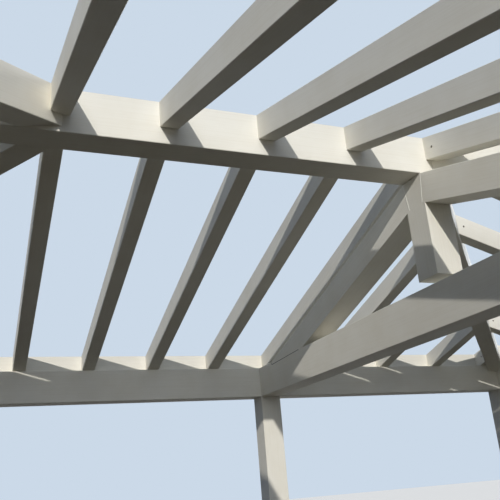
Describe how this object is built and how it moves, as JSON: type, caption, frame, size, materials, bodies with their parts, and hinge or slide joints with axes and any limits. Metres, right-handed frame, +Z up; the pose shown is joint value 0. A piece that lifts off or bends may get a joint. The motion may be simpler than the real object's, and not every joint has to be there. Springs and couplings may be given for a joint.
{
  "type": "hipped timber pergola",
  "caption": "Free-standing painted timber pergola: open hipped roof frame of rafters on a ridge beam, a king-post truss, eaves beams and square posts.",
  "frame": {"origin": "on the ground, under the middle of the plan", "axes": "+X along the ridge towards the truss end, +Y towards the far long side, +Z up"},
  "size_m": [8.508, 6.108, 3.6943],
  "materials": {
    "eaves_timber": "satin opaque paint",
    "hip_timber": "satin opaque paint",
    "post_timber": "satin opaque paint",
    "rafter_timber": "satin opaque paint",
    "ridge_timber": "satin opaque paint",
    "rim_timber": "satin opaque paint",
    "truss_timber": "satin opaque paint"
  },
  "bodies": {
    "root": {"eaves_beam_far_long": "eaves_timber", "eaves_beam_far_short": "eaves_timber", "eaves_beam_left": "eaves_timber", "eaves_beam_near_long": "eaves_timber", "eaves_beam_near_short": "eaves_timber", "eaves_beam_right": "eaves_timber", "end_jack_rafters_left_far": "rafter_timber", "end_jack_rafters_left_near": "rafter_timber", "end_jack_rafters_right_far": "rafter_timber", "end_jack_rafters_right_near": "rafter_timber", "hip_rafter_far_left": "hip_timber", "hip_rafter_far_right": "hip_timber", "hip_rafter_near_left": "hip_timber", "hip_rafter_near_right": "hip_timber", "jack_rafters_far_left": "rafter_timber", "jack_rafters_far_right": "rafter_timber", "jack_rafters_near_left": "rafter_timber", "jack_rafters_near_right": "rafter_timber", "king_post": "truss_timber", "middle_rafter_left": "rafter_timber", "middle_rafter_right": "rafter_timber", "post_corner_far_left": "post_timber", "post_corner_far_right": "post_timber", "post_corner_near_left": "post_timber", "post_corner_near_right": "post_timber", "post_truss_far": "post_timber", "post_truss_near": "post_timber", "principal_rafter_far": "truss_timber", "principal_rafter_near": "truss_timber", "rafter_far_1": "rafter_timber", "rafter_far_2": "rafter_timber", "rafter_far_3": "rafter_timber", "rafter_far_4": "rafter_timber", "rafter_far_5": "rafter_timber", "rafter_near_1": "rafter_timber", "rafter_near_2": "rafter_timber", "rafter_near_3": "rafter_timber", "rafter_near_4": "rafter_timber", "rafter_near_5": "rafter_timber", "ridge_beam": "ridge_timber", "rim_board_far": "rim_timber", "rim_board_left": "rim_timber", "rim_board_near": "rim_timber", "rim_board_right": "rim_timber", "tie_beam": "truss_timber"}
  },
  "joints": []
}
